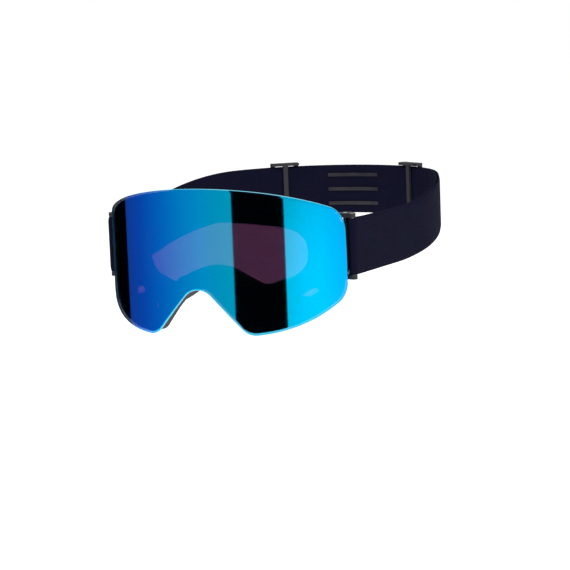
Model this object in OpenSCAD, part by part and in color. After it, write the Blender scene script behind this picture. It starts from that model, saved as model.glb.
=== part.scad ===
// Ski goggles with a frameless cylindrical lens that is held on by magnets.
// Frame: origin at the centre of the face opening, where the face foam meets the skin.
// +Y points from the front of the lens to the face, +Z up, +X to the wearer's left.

/* [Lens] */
// Radius of the outer lens's outer face
lens_r = 104; // [96:1:130]
// Depth of the lens's front ruling in front of the face seat
lens_depth = 42; // [38:1:50]
// Half width of the lens along its curve, at the sides
lens_half = 115; // [108:1:122]
// Height of the lens above the origin's level, at its middle
lens_top = 51.6; // [48:0.2:56]
// Level of the two low lobes beside the nose
lens_low = -53.7; // [-58:0.1:-50]
// Thickness of the outer lens
lens_t = 1.4; // [1:0.1:2]
// Thickness of the inner lens
inner_t = 0.8; // [0.6:0.1:1.2]
// Thickness of the spacer foam between the two lenses
gasket_t = 3; // [2:0.5:4]

/* [Lens carrier and rim] */
// Width of the carrier ring behind the lens's border
carrier_w = 6; // [5.6:0.1:6.4]
// Depth of the carrier ring
carrier_t = 4.9; // [4.5:0.1:6]
// Width of the rigid front rim on the frame
rim_w = 10; // [9:0.5:11]
// Depth of the front rim
rim_t = 3.6; // [3:0.2:4.6]
// Radius of a magnet
magnet_r = 2; // [1.5:0.1:2.2]
// Thickness of a magnet
magnet_t = 1.8; // [1.2:0.1:2]

/* [Face opening] */
// Half width of the face opening
open_half = 66; // [62:0.5:69]
// Radius of the frame's back flange, seen from above
flange_r = 90; // [86:1:96]
// Radius of the face foam's contact face, seen from above
face_r = 98; // [92:1:110]
// Wall of the soft frame
shell_t = 2.5; // [1.8:0.1:3]
// Thickness of the frame's back flange
flange_t = 2; // [1.5:0.1:2.5]
// Width of the flange and of the face foam
foam_w = 13; // [10:0.5:14]
// Total thickness of the face foam at the middle
foam_t = 20; // [16:0.5:22]
// Thickness of the dense foam next to the frame
foam_base_t = 5; // [3:0.5:7]
// Thickness of the fleece next to the skin
liner_t = 1.8; // [1:0.1:2.5]
// Thickness of the vent foams
vent_t = 2.4; // [1.5:0.1:3]

/* [Strap] */
// Width of the strap
strap_w = 40.5; // [36:0.5:44]
// Thickness of the strap
strap_t = 1.7; // [1.2:0.1:2.2]
// Level of the strap's middle at the lens
strap_z = 4; // [2:0.5:8]
// Rise of the strap's middle towards the back
strap_rise = 14; // [8:1:18]
// Length of the straight side of the strap
side_len = 108; // [90:1:120]
// Angle by which the strap's sides spread, seen from above
side_spread = 6.4; // [5:0.1:8]
// Radius of the curve behind each side
corner_r = 180; // [160:1:200]
// Angle of each half of the back of the strap
back_half = 60; // [56:1:64]

/* [Outriggers and sliders] */
// Radius of a hinge pin
pin_r = 1.5; // [1.2:0.1:1.8]
// Radius of a strap bar
bar_r = 1.3; // [1.1:0.1:1.6]
// Radius of a hinge barrel
barrel_r = 3; // [2.8:0.1:3.4]
// Running gap between moving plastic parts
gap = 0.3; // [0.2:0.05:0.5]
// Angle of each slider from the middle of the back
slider_at = 34; // [28:1:40]
// Length of a slider along the strap
slider_len = 24; // [20:1:30]

/* [Hidden] */

// Bond line between glued pieces
bond = 0.15;
// Vertical axis of the lens cylinder
axis_y = lens_r - lens_depth;

// Each corner of an outline is [x, z, radius]; an outline runs anticlockwise from its top.
// Every outline has the same corners, so their points match one to one.
arc_points = [29, 6, 6, 9, 5, 7];
nose_edge_points = 3;
lens_corners = mirrored(
    [0, lens_top + 16.7, 300],
    [
        [lens_half - 1.7, lens_top - 21.7, 20],
        [lens_half, -30, 18],
        [lens_half - 42.3, lens_low + 2.6, 145],
        [36.4, lens_low, 14]
    ],
    [0, lens_low + 39.8, 13.5]
);
open_corners = mirrored(
    [0, 31, 250],
    [
        [open_half, 17.6, 18],
        [open_half, -13.5, 16],
        [open_half - 17, -18, 40],
        [34, -22.5, 10]
    ],
    [0, -2, 30]
);

// A whole outline's corners from its top corner, its right-hand corners and its nose corner
function mirrored(top, side, nose) = concat(
    [top],
    [for (c = side) [-c[0], c[1], c[2]]],
    [nose],
    [for (i = [len(side) - 1 : -1 : 0]) side[i]]
);
// Which of the six kinds of corner corner i is, from 0 at the top to 5 at the nose
function kind(i) = i <= 5 ? i : 10 - i;
// Points on the straight edge after corner i; only the slope beside the nose needs some
function edge_points(i) = i == 4 || i == 5 ? nose_edge_points : 0;
function first_point(i) = i == 0 ? 0 : first_point(i - 1) + arc_points[kind(i - 1)] + edge_points(i - 1);

function unit(v) = v / norm(v);
function cross2(a, b) = a[0] * b[1] - a[1] * b[0];
function at(list, i) = list[(i + len(list)) % len(list)];
function xz(c) = [c[0], c[1]];
function rot90(v) = [-v[1], v[0]];

// Tangent length of corner i before any limit; half is half its turning angle
function half_turn(cs, i) = let (
    a = unit(xz(at(cs, i)) - xz(at(cs, i - 1))),
    b = unit(xz(at(cs, i + 1)) - xz(at(cs, i)))
) atan2(cross2(a, b), a * b) / 2;
function tangent_len(cs, i) = at(cs, i)[2] * tan(abs(half_turn(cs, i)));
function edge_share(cs, i, j) = norm(xz(at(cs, j)) - xz(at(cs, i)))
    / (tangent_len(cs, i) + tangent_len(cs, j));
function fitted_r(cs, i) = cs[i][2]
    * min(1, 0.998 * edge_share(cs, i, i - 1), 0.998 * edge_share(cs, i, i + 1));

// Corners moved inwards by d; round corners keep one centre, as on a parallel curve
function inset(cs, d) = [
    for (i = [0 : len(cs) - 1])
        let (
            a = unit(xz(cs[i]) - xz(at(cs, i - 1))),
            b = unit(xz(at(cs, i + 1)) - xz(cs[i])),
            turn = half_turn(cs, i),
            n = rot90(a) + rot90(b),
            p = xz(cs[i]) + d * n / (1 + rot90(a) * rot90(b)),
            r = turn > 0 ? cs[i][2] - d : cs[i][2] + d
        )
        [p[0], p[1], max(r, 4)]
];

// Point at share k of the arc of corner i
function arc_point(cs, i, k) = let (
    a = unit(xz(cs[i]) - xz(at(cs, i - 1))),
    turn = half_turn(cs, i),
    r = fitted_r(cs, i),
    start = xz(cs[i]) - a * r * tan(abs(turn)),
    centre = start + rot90(a) * r * sign(turn),
    from = start - centre,
    t = 2 * turn * k
) centre + [from[0] * cos(t) - from[1] * sin(t), from[0] * sin(t) + from[1] * cos(t)];

// The outline's points, [x, z], with each corner as an arc
function outline(cs) = [
    for (i = [0 : len(cs) - 1])
        let (n = arc_points[kind(i)], m = edge_points(i))
        each concat(
            [for (k = [0 : n - 1]) arc_point(cs, i, k / (n - 1))],
            [
                for (k = [1 : 1 : m])
                    arc_point(cs, i, 1) * (1 - k / (m + 1))
                    + arc_point(cs, (i + 1) % len(cs), 0) * k / (m + 1)
            ]
        )
];

// A point of the unrolled lens, laid on the cylinder of radius r about the lens axis
function wrap(p, r) = let (a = p[0] / lens_r * 180 / PI) [r * sin(a), axis_y - r * cos(a), p[1]];
function wrapped(ps, r) = [for (p = ps) wrap(p, r)];
// A point of a front view, laid on a face-shaped surface: a cylinder of radius r that starts at y
function laid(ps, y, r) = [for (p = ps) [p[0], y + r - sqrt(r * r - p[0] * p[0]), p[1]]];

// A closed ring from loops of points, each loop one edge of its section
module ring(loops) {
    m = len(loops);
    n = len(loops[0]);
    polyhedron(
        points = [for (l = loops) for (p = l) p],
        faces = [
            for (i = [0 : m - 1])
                for (j = [0 : n - 1])
                    let (i2 = (i + 1) % m, j2 = (j + 1) % n)
                    each [
                        [i * n + j, i2 * n + j, i2 * n + j2],
                        [i * n + j, i2 * n + j2, i * n + j2]
                    ]
        ],
        convexity = 6
    );
}

// A solid from a row of sections, each a loop of points, closed at both ends
module loft(sections) {
    m = len(sections);
    n = len(sections[0]);
    polyhedron(
        points = [for (s = sections) for (p = s) p],
        faces = concat(
            [
                for (i = [0 : m - 2])
                    for (j = [0 : n - 1])
                        let (j2 = (j + 1) % n)
                        each [
                            [i * n + j, (i + 1) * n + j, (i + 1) * n + j2],
                            [i * n + j, (i + 1) * n + j2, i * n + j2]
                        ]
            ],
            [[for (j = [0 : n - 1]) j]],
            [[for (j = [n - 1 : -1 : 0]) (m - 1) * n + j]]
        ),
        convexity = 6
    );
}

// Points first..last of a loop, counted round it
function part(loop, first, last) = [for (i = [first : last]) at(loop, i)];
// Sections of a strip from four long edges
function across(a, b, c, d) = [for (i = [0 : len(a) - 1]) [a[i], b[i], c[i], d[i]]];

module both_sides(left = true, right = true) {
    if (right) children();
    if (left) mirror([1, 0, 0]) children();
}

// ---- Lens ----

// Points in order of their first number, with repeats left out
function sorted_x(ps) = len(ps) <= 1 ? ps : let (
    pivot = ps[floor(len(ps) / 2)][0],
    low = [for (p = ps) if (p[0] < pivot) p],
    same = [for (p = ps) if (p[0] == pivot) p],
    high = [for (p = ps) if (p[0] > pivot) p]
) concat(sorted_x(low), [same[0]], sorted_x(high));

// A plate of the outline between two radii, made of upright strips
module bent_plate(cs, r_out, r_in) {
    ps = outline(cs);
    tops = sorted_x([for (p = ps) if (p[1] > 0) p]);
    lows = sorted_x([for (p = ps) if (p[1] <= 0) p]);
    reach = min(max([for (p = tops) p[0]]), max([for (p = lows) p[0]])) - 0.02;
    steps = 60;
    loft([
        for (i = [-steps : steps])
            let (s = reach * sin(90 * i / steps), lo = lookup(s, lows), hi = lookup(s, tops))
            [wrap([s, lo], r_out), wrap([s, hi], r_out), wrap([s, hi], r_in), wrap([s, lo], r_in)]
    ]);
}

carrier_in = 1.4;
carrier_top_r = lens_r - lens_t - bond;
carrier_back_r = carrier_top_r - carrier_t;
gasket_in = carrier_in + carrier_w + 2 * bond;
gasket_w = 5;
inner_r = carrier_top_r - gasket_t - bond;

module outer_lens() {
    color([0.05, 0.55, 0.85, 0.8]) bent_plate(lens_corners, lens_r, lens_r - lens_t);
}

module inner_lens() {
    color([0.35, 0.2, 0.3, 0.6]) bent_plate(inset(lens_corners, gasket_in), inner_r, inner_r - inner_t);
}

module lens_ring(first, width, r_out, r_in) {
    outer = outline(inset(lens_corners, first));
    inner = outline(inset(lens_corners, first + width));
    ring([wrapped(outer, r_out), wrapped(inner, r_out), wrapped(inner, r_in), wrapped(outer, r_in)]);
}

module lens_gasket() {
    color([0.05, 0.05, 0.06]) lens_ring(gasket_in, gasket_w, carrier_top_r, carrier_top_r - gasket_t);
}

// Places on the middle of the carrier ring, [s, z], for the magnets of one side
magnet_in = carrier_in + carrier_w / 2;
function level(s, high) = lookup(s, sorted_x([
    for (p = outline(inset(lens_corners, magnet_in))) if (high ? p[1] > 0 : p[1] <= 0) p
]));
magnet_places = [
    [30, level(30, true)], [78, level(78, true)],
    [lens_half - 0.5 - magnet_in, 0], [72, level(72, false)]
];

// Discs along the radius at each magnet place
module discs(r, r_out, r_in) {
    both_sides()
        for (p = magnet_places)
            translate([0, axis_y, p[1]])
                rotate([0, 0, p[0] / lens_r * 180 / PI])
                    translate([0, -r_in, 0])
                        rotate([90, 0, 0])
                            cylinder(r = r, h = r_out - r_in, $fn = 32);
}

module lens_carrier() {
    color([0.04, 0.04, 0.05])
        difference() {
            lens_ring(carrier_in, carrier_w, carrier_top_r, carrier_back_r);
            discs(magnet_r + 0.05, carrier_back_r + magnet_t + 0.1, carrier_back_r - 1);
        }
}

module lens_magnets() {
    color("silver") discs(magnet_r, carrier_back_r + magnet_t, carrier_back_r + 0.05);
}

// ---- Frame ----

rim_in = carrier_in + 0.4;
rim_front_r = carrier_back_r - gap;
rim_back_r = rim_front_r - rim_t;
shell_in = rim_in + 0.4;
shell_front_r = rim_back_r - bond;
flange_y = -foam_t - bond;
flange_outer = inset(open_corners, -foam_w);
shell_loop_out = wrapped(outline(inset(lens_corners, shell_in)), shell_front_r);
shell_loop_in = wrapped(outline(inset(lens_corners, shell_in + shell_t)), shell_front_r);
flange_loop_out = laid(outline(flange_outer), flange_y, flange_r);
flange_loop_in = laid(outline(inset(flange_outer, shell_t)), flange_y - flange_t, flange_r);
flange_middle = outline(inset(flange_outer, foam_w / 2));

module front_rim() {
    color([0.05, 0.05, 0.06])
        difference() {
            lens_ring(rim_in, rim_w, rim_front_r, rim_back_r);
            discs(magnet_r + 0.05, rim_front_r + 1, rim_front_r - magnet_t - 0.1);
        }
}

module frame_magnets() {
    color("silver") discs(magnet_r, rim_front_r - 0.05, rim_front_r - magnet_t);
}

// Openings through the frame's top and bottom walls
vent_w = 17;
vent_y = 4.5;
module vent_cuts() {
    both_sides()
        for (a = [7, 22])
            translate([0, axis_y, 0])
                rotate([0, 0, a * 1.35])
                    translate([-vent_w / 2, -shell_front_r + 4, 30])
                        cube([vent_w, vent_y, 30]);
    both_sides()
        for (a = [35, 50])
            translate([0, axis_y, 0])
                rotate([0, 0, a])
                    translate([-vent_w / 2 + 1, -shell_front_r + 4, -60])
                        cube([vent_w - 3, vent_y, 35]);
}

module frame_shell() {
    color([0.06, 0.06, 0.07])
        difference() {
            ring([
                shell_loop_out,
                shell_loop_in,
                flange_loop_in,
                laid(flange_middle, flange_y - flange_t, flange_r),
                laid(outline(open_corners), flange_y - flange_t, flange_r),
                laid(outline(open_corners), flange_y, flange_r),
                laid(flange_middle, flange_y, flange_r),
                flange_loop_out
            ]);
            vent_cuts();
        }
}

// Share t of the way from one loop to another
function between(a, b, t) = [for (i = [0 : len(a) - 1]) a[i] * (1 - t) + b[i] * t];
// A strip of foam against the inside of the frame's wall, from point first to point last
module wall_foam(first, last) {
    deep_out = wrapped(outline(inset(lens_corners, shell_in + shell_t + vent_t)), shell_front_r);
    deep_in = laid(outline(inset(flange_outer, shell_t + vent_t)), flange_y - flange_t, flange_r);
    near_a = between(shell_loop_in, deep_out, 0.12);
    near_b = between(flange_loop_in, deep_in, 0.12);
    loft(across(
        part(between(near_a, near_b, 0.14), first, last),
        part(between(near_a, near_b, 0.86), first, last),
        part(between(deep_out, deep_in, 0.86), first, last),
        part(between(deep_out, deep_in, 0.14), first, last)
    ));
}

module top_vent_foam() {
    color([0.1, 0.1, 0.11]) wall_foam(first_point(0), first_point(1) - 1);
}

module bottom_vent_foam() {
    wall_foam(first_point(3), first_point(4) - 1);
}
module bottom_vent_foam_left() {
    color([0.1, 0.1, 0.11]) mirror([1, 0, 0]) bottom_vent_foam();
}
module bottom_vent_foam_right() {
    color([0.1, 0.1, 0.11]) bottom_vent_foam();
}

// A layer of the face foam between two depths, each with its own radius
foam_edge = 0.6;
foam_gap = 0.4;
base_far = -foam_t + foam_base_t;
base_far_r = flange_r + (face_r - flange_r) * foam_base_t / foam_t;
module foam_layer(y_near, r_near, y_far, r_far) {
    outer = outline(inset(flange_outer, foam_edge));
    inner = outline(inset(flange_outer, foam_w - foam_edge));
    ring([
        laid(outer, y_near, r_near),
        laid(flange_middle, y_near, r_near),
        laid(inner, y_near, r_near),
        laid(inner, y_far, r_far),
        laid(flange_middle, y_far, r_far),
        laid(outer, y_far, r_far)
    ]);
}

module face_foam_base() {
    color([0.09, 0.09, 0.1]) foam_layer(-foam_t + foam_gap, flange_r, base_far, base_far_r);
}
module face_foam_mid() {
    color([0.12, 0.11, 0.12]) foam_layer(base_far + foam_gap, base_far_r, -liner_t - foam_gap, face_r);
}
module face_liner() {
    color([0.04, 0.04, 0.05]) foam_layer(-liner_t, face_r, 0, face_r);
}

// Soft flap that hangs from the nose arch of the frame, inside its wall
module nose_flap() {
    first = first_point(4) + 2;
    last = first_point(7) - 3;
    flap_t = 1.2;
    off = 0.3;
    ring_out = outline(inset(flange_outer, shell_t + off));
    ring_in = outline(inset(flange_outer, shell_t + off + flap_t));
    front_out = outline(inset(lens_corners, shell_in + shell_t + off));
    front_in = outline(inset(lens_corners, shell_in + shell_t + off + flap_t));
    a = wrapped(front_out, shell_front_r);
    b = laid(ring_out, flange_y - flange_t, flange_r);
    c = laid(ring_in, flange_y - flange_t, flange_r);
    d = wrapped(front_in, shell_front_r);
    color([0.08, 0.07, 0.08])
        loft(across(
            part(between(a, b, 0.05), first, last),
            part(between(a, b, 0.93), first, last),
            part(between(d, c, 0.93), first, last),
            part(between(d, c, 0.05), first, last)
        ));
}

// ---- Strap path, on the right side, seen from above ----

// Middle of the strap bar, just behind the lens's side edge
edge_angle = lens_half / lens_r * 180 / PI;
edge_x = lens_r * sin(edge_angle);
edge_y = axis_y - lens_r * cos(edge_angle);
bar = [edge_x + 2, edge_y + 5.2];
fold_r = bar_r + 0.25 + strap_t;
heading = [sin(side_spread), cos(side_spread)];
outward = [cos(side_spread), -sin(side_spread)];
// Middle line of the outer layer where it leaves the bar
side_start = bar + outward * (fold_r - strap_t / 2);
side_end = side_start + heading * side_len;
corner_c = side_end - outward * corner_r;
// The corner arc turns until the back arc takes over on the middle plane
turn = side_spread + 90 - back_half;
corner_end = corner_c + corner_r * [cos(turn - side_spread), sin(turn - side_spread)];
back_dir = [cos(turn - side_spread), sin(turn - side_spread)];
back_c = [0, corner_end[1] - corner_end[0] * back_dir[1] / back_dir[0]];
back_mid_r = norm(corner_end - back_c);
corner_len = corner_r * turn * PI / 180;
back_len = back_mid_r * (90 - turn + side_spread) * PI / 180;

// Plan point at length u along the middle of the outer layer, moved inwards by d
function path(u, d) =
    u < side_len ? side_start + heading * u - outward * d
    : u < side_len + corner_len ? let (a = (u - side_len) / corner_r * 180 / PI - side_spread)
        corner_c + (corner_r - d) * [cos(a), sin(a)]
    : let (a = turn - side_spread + (u - side_len - corner_len) / back_mid_r * 180 / PI)
        back_c + (back_mid_r - d) * [cos(a), sin(a)];
// Level of the strap's middle at length u
rise_from = 70;
function smooth(t) = t <= 0 ? 0 : t >= 1 ? 1 : t * t * (3 - 2 * t);
function strap_mid(u) = strap_z + strap_rise * smooth((u - rise_from) / (side_len + corner_len - rise_from));
// A band between two lengths, whose middle layer is d inside the outer layer
function band_section(u, d, w) = let (
    o = path(u, d - strap_t / 2), i = path(u, d + strap_t / 2), z = strap_mid(u)
) [[o[0], o[1], z - w / 2], [o[0], o[1], z + w / 2], [i[0], i[1], z + w / 2], [i[0], i[1], z - w / 2]];
module band(u0, u1, d, w, steps) {
    loft([for (i = [0 : steps]) band_section(u0 + (u1 - u0) * i / steps, d, w)]);
}

lead_len = 34;
seam = 0.3;
// Travel left free between the returned layer and the slider
slider_swing = 14;
layer = strap_t + 0.35;
slider_u = side_len + corner_len + back_len - slider_at * PI / 180 * back_mid_r;

module strap_side() {
    band(lead_len + seam, side_len + corner_len - seam / 2, 0, strap_w, 30);
}
module strap_side_left() {
    color([0.1, 0.1, 0.14]) strap_side();
}
module strap_side_right() {
    color([0.1, 0.1, 0.14]) mirror([1, 0, 0]) strap_side();
}

// The returned layer on the inside, from the lead to just before the slider
module strap_return() {
    band(lead_len + seam, slider_u - slider_len / 2 - slider_swing, layer, strap_w - 1, 36);
}
module strap_return_left() {
    color([0.1, 0.1, 0.14]) strap_return();
}
module strap_return_right() {
    color([0.1, 0.1, 0.14]) mirror([1, 0, 0]) strap_return();
}

// The strap's front loop: outer layer, half turn round the bar, inner layer
module strap_lead() {
    round_steps = 12;
    outer_mid = fold_r - strap_t / 2;
    centre = side_start - outward * outer_mid;
    // The half turn goes from the outer layer over the front of the bar to the inner layer
    loop_pts = [
        for (i = [0 : 6])
            let (u = lead_len * (1 - i / 6)) [path(u, -strap_t / 2), path(u, strap_t / 2)],
        for (i = [1 : round_steps - 1])
            let (
                a = -side_spread - 180 * i / round_steps,
                e = [cos(a), sin(a)]
            )
            [centre + e * fold_r, centre + e * (fold_r - strap_t)],
        for (i = [0 : 6])
            let (
                t = i / 6,
                u = lead_len * t,
                d = (2 * outer_mid) * (1 - smooth(t * 1.6)) + layer * smooth(t * 1.6)
            )
            [path(u, d + strap_t / 2), path(u, d - strap_t / 2)]
    ];
    color([0.1, 0.1, 0.14])
        loft([
            for (p = loop_pts)
                [
                    [p[0][0], p[0][1], strap_z - strap_w / 2], [p[0][0], p[0][1], strap_z + strap_w / 2],
                    [p[1][0], p[1][1], strap_z + strap_w / 2], [p[1][0], p[1][1], strap_z - strap_w / 2]
                ]
        ]);
}
module strap_lead_left() {
    strap_lead();
}
module strap_lead_right() {
    mirror([1, 0, 0]) strap_lead();
}

// A sector of a ring about the axis of the strap's back, from angle a0 to a1 off the middle
module back_sector(r_in, r_out, a0, a1, z0, z1) {
    translate([back_c[0], back_c[1], z0])
        rotate([0, 0, 90 - a1])
            rotate_extrude(angle = a1 - a0, $fn = 180)
                translate([r_in, 0])
                    square([r_out - r_in, z1 - z0]);
}

back_z = strap_z + strap_rise;
module strap_back() {
    a = back_half - seam / back_mid_r * 90 / PI;
    color([0.1, 0.1, 0.14])
        back_sector(back_mid_r - strap_t / 2, back_mid_r + strap_t / 2, -a, a,
            back_z - strap_w / 2, back_z + strap_w / 2);
}

// Silicone lines on the inside of the back
grip_half = 13;
grip_w = 3;
grip_t = 0.8;
module grip_strips() {
    r = back_mid_r - strap_t / 2 - 0.05;
    color([0.2, 0.2, 0.22])
        for (z = [-12, 0, 12])
            back_sector(r - grip_t, r, -grip_half, grip_half, back_z + z - grip_w / 2, back_z + z + grip_w / 2);
}

// ---- Sliders ----

slider_gap = 0.4;
bar_t = 2;
bar_w = 4;
slider_end_t = 2.4;
module slider() {
    r_out = back_mid_r + strap_t / 2 + slider_gap;
    r_in = back_mid_r - strap_t / 2 - slider_gap;
    z_half = strap_w / 2 + 0.6;
    half = slider_len / 2;
    depth = r_out - r_in + 2 * bar_t;
    color([0.07, 0.07, 0.08])
        translate([back_c[0], back_c[1], back_z])
            rotate([0, 0, -slider_at])
                union() {
                    // End plates past the strap's edges
                    for (z = [-z_half - slider_end_t, z_half])
                        translate([-half, r_in - bar_t, z])
                            cube([slider_len, depth, slider_end_t]);
                    // Two bars outside the strap, and one inside it
                    for (x = [-half, half - bar_w])
                        translate([x, r_out, -z_half - slider_end_t / 2])
                            cube([bar_w, bar_t, 2 * z_half + slider_end_t]);
                    translate([-bar_w / 2, r_in - bar_t, -z_half - slider_end_t / 2])
                        cube([bar_w, bar_t, 2 * z_half + slider_end_t]);
                }
}
module slider_left() {
    slider();
}
module slider_right() {
    mirror([1, 0, 0]) slider();
}

// ---- Outriggers ----

hinge = [edge_x - 4.6, edge_y + 9];
ear_z = 17;
arm_t = 3;
arm_z = strap_w / 2 + 0.5;
bore_gap = 0.05;

module barrel(r, z_half) {
    translate([hinge[0], hinge[1], strap_z - z_half])
        cylinder(r = r, h = 2 * z_half, $fn = 40);
}

// Bracket behind the rim's side, with a long knuckle for the hinge pin
module ear() {
    wall = wrap([lens_half - 0.4 - rim_in, 0], rim_front_r - 0.2);
    wall_in = wrap([lens_half - 0.4 - rim_in, 0], rim_back_r + 0.4);
    away = [cos(edge_angle), sin(edge_angle)] * 0.45;
    color([0.06, 0.06, 0.07])
        difference() {
            union() {
                translate([0, 0, strap_z - ear_z])
                    linear_extrude(2 * ear_z)
                        polygon([
                            xy(wall) + away, xy(wall_in) + away,
                            xy(wall_in) + [-0.2, 5], [hinge[0] - 2, hinge[1] + barrel_r - 0.8],
                            [hinge[0] + 0.6, hinge[1] - barrel_r + 0.4]
                        ]);
                barrel(barrel_r, ear_z);
            }
            barrel(pin_r + 0.02, ear_z + 1);
        }
}
function xy(p) = [p[0], p[1]];
module ear_left() {
    ear();
}
module ear_right() {
    mirror([1, 0, 0]) ear();
}

module hinge_pin() {
    color("silver") barrel(pin_r, arm_z + arm_t);
}
module hinge_pin_left() {
    hinge_pin();
}
module hinge_pin_right() {
    mirror([1, 0, 0]) hinge_pin();
}

// Hinged clip: two arms that turn on the hinge pin and hold the strap bar, joined by a spine
spine_in = 3.5;
spine_out = 5.6;
module outrigger() {
    side = rot90(unit(bar - hinge));
    boss_r = fold_r - 0.6;
    color([0.07, 0.07, 0.08])
        difference() {
            union() {
                for (z = [-1, 1])
                    translate([0, 0, strap_z + z * (arm_z + arm_t / 2) - arm_t / 2]) {
                        translate([bar[0], bar[1], 0]) cylinder(r = boss_r, h = arm_t, $fn = 40);
                        translate([hinge[0], hinge[1], 0]) cylinder(r = spine_out, h = arm_t, $fn = 40);
                        linear_extrude(arm_t)
                            polygon([
                                hinge + side * (spine_out - 0.2), hinge - side * (spine_out - 1.2),
                                bar - side * (boss_r - 0.05), bar + side * (boss_r - 0.05)
                            ]);
                    }
                translate([hinge[0] - 2.4, hinge[1] + spine_in, strap_z - arm_z - arm_t / 2])
                    cube([4.4, spine_out - spine_in - 0.5, 2 * arm_z + arm_t]);
            }
            barrel(pin_r + bore_gap, arm_z + arm_t + 1);
            translate([bar[0], bar[1], strap_z - arm_z - arm_t - 1])
                cylinder(r = bar_r + 0.02, h = 2 * (arm_z + arm_t) + 2, $fn = 40);
        }
}
module outrigger_left() {
    outrigger();
}
module outrigger_right() {
    mirror([1, 0, 0]) outrigger();
}

module strap_bar() {
    color("silver")
        translate([bar[0], bar[1], strap_z - arm_z - arm_t])
            cylinder(r = bar_r, h = 2 * (arm_z + arm_t), $fn = 40);
}
module strap_bar_left() {
    strap_bar();
}
module strap_bar_right() {
    mirror([1, 0, 0]) strap_bar();
}

outer_lens();
inner_lens();
lens_gasket();
lens_carrier();
lens_magnets();
front_rim();
frame_magnets();
frame_shell();
nose_flap();
top_vent_foam();
bottom_vent_foam_left();
bottom_vent_foam_right();
face_foam_base();
face_foam_mid();
face_liner();
ear_left();
ear_right();
hinge_pin_left();
hinge_pin_right();
outrigger_left();
outrigger_right();
strap_bar_left();
strap_bar_right();
strap_lead_left();
strap_lead_right();
strap_side_left();
strap_side_right();
strap_return_left();
strap_return_right();
strap_back();
grip_strips();
slider_left();
slider_right();
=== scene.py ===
"""Ski goggles with a mirrored cylindrical lens on magnets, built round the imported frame."""
import logging
import math
from dataclasses import dataclass, field
from enum import Enum

import bmesh
import bpy
import numpy as np
from mathutils import Matrix, Vector


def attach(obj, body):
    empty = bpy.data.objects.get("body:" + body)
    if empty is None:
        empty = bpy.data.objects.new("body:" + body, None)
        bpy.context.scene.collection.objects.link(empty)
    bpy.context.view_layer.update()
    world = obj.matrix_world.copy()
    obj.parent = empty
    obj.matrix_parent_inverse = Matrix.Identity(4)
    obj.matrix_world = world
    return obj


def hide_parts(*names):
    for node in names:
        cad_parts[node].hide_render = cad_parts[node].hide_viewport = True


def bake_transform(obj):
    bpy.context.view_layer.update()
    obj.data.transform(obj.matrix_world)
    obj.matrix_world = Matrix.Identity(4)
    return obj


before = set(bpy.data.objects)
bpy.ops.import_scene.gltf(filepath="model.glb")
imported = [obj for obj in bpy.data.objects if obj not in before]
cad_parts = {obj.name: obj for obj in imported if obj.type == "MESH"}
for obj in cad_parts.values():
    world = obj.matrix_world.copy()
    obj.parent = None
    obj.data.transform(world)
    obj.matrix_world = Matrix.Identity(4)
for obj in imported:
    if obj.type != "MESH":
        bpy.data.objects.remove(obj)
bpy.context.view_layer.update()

LOG = logging.getLogger("goggles")
MM = 0.001
Array = np.ndarray


class Side(Enum):
    """The wearer's left and right, as the sign of X."""

    LEFT = 1
    RIGHT = -1

    @property
    def word(self) -> str:
        """The side's name as the nodes spell it."""
        return self.name.lower()


# ---------------------------------------------------------------- outlines and surfaces


@dataclass(frozen=True)
class Outline:
    """A closed outline of rounded corners, symmetric about its middle, in millimetres.

    Each corner is (x, z, radius). All outlines have the same corners and point counts, so the
    points of any two of them match one to one.
    """

    top: tuple[float, float, float]
    side: tuple[tuple[float, float, float], ...]
    nose: tuple[float, float, float]
    arc_points: tuple[int, ...] = (141, 14, 14, 44, 12, 18)
    edge_points: tuple[int, ...] = (3, 12, 2, 2, 14)
    least_radius: float = 4.0

    def corners(self) -> Array:
        """All corners, anticlockwise from the top, as rows of x, z and radius."""
        left = [(-x, z, r) for x, z, r in self.side]
        return np.array([self.top, *left, self.nose, *reversed(self.side)], float)

    def points(self, inset: float = 0.0) -> Array:
        """The outline's points after every edge has moved inwards.

        Args:
            inset: distance in millimetres, negative to move outwards.

        Returns:
            Rows of x and z; each corner is an arc tangent to its two edges.
        """
        corners = self.corners()
        xy, radius = corners[:, :2], corners[:, 2]
        ahead = np.roll(xy, -1, 0) - xy
        ahead /= np.linalg.norm(ahead, axis=1)[:, None]
        behind = np.roll(ahead, 1, 0)
        normal_in, normal_out = turned(behind), turned(ahead)
        turn = np.arctan2(cross(behind, ahead), np.sum(behind * ahead, 1))
        share = 1 + np.sum(normal_in * normal_out, 1)
        xy = xy + inset * (normal_in + normal_out) / share[:, None]
        radius = np.maximum(radius - inset * np.sign(turn), self.least_radius)
        tangent = radius * np.tan(np.abs(turn) / 2)
        length = np.linalg.norm(np.roll(xy, -1, 0) - xy, axis=1)
        room_after = length / (tangent + np.roll(tangent, -1))
        room = np.minimum(1, 0.998 * np.minimum(room_after, np.roll(room_after, 1)))
        radius, tangent = radius * room, tangent * room
        start = xy - behind * tangent[:, None]
        centre = start + normal_in * (radius * np.sign(turn))[:, None]
        arm = start - centre
        kinds = [0, 1, 2, 3, 4, 5, 4, 3, 2, 1]
        edges = [0, 1, 2, 3, 4, 4, 3, 2, 1, 0]
        arcs = []
        for i, kind in enumerate(kinds):
            angle = turn[i] * np.linspace(0, 1, self.arc_points[kind])
            cos, sin = np.cos(angle), np.sin(angle)
            x, z = arm[i]
            arcs.append(centre[i] + np.stack([x * cos - z * sin, x * sin + z * cos], 1))
        loops = []
        for i, edge in enumerate(edges):
            share = np.arange(1, self.edge_points[edge] + 1)[:, None] / (self.edge_points[edge] + 1)
            after = arcs[(i + 1) % len(arcs)][0]
            loops += [arcs[i], arcs[i][-1] * (1 - share) + after * share]
        return np.concatenate(loops)


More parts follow.
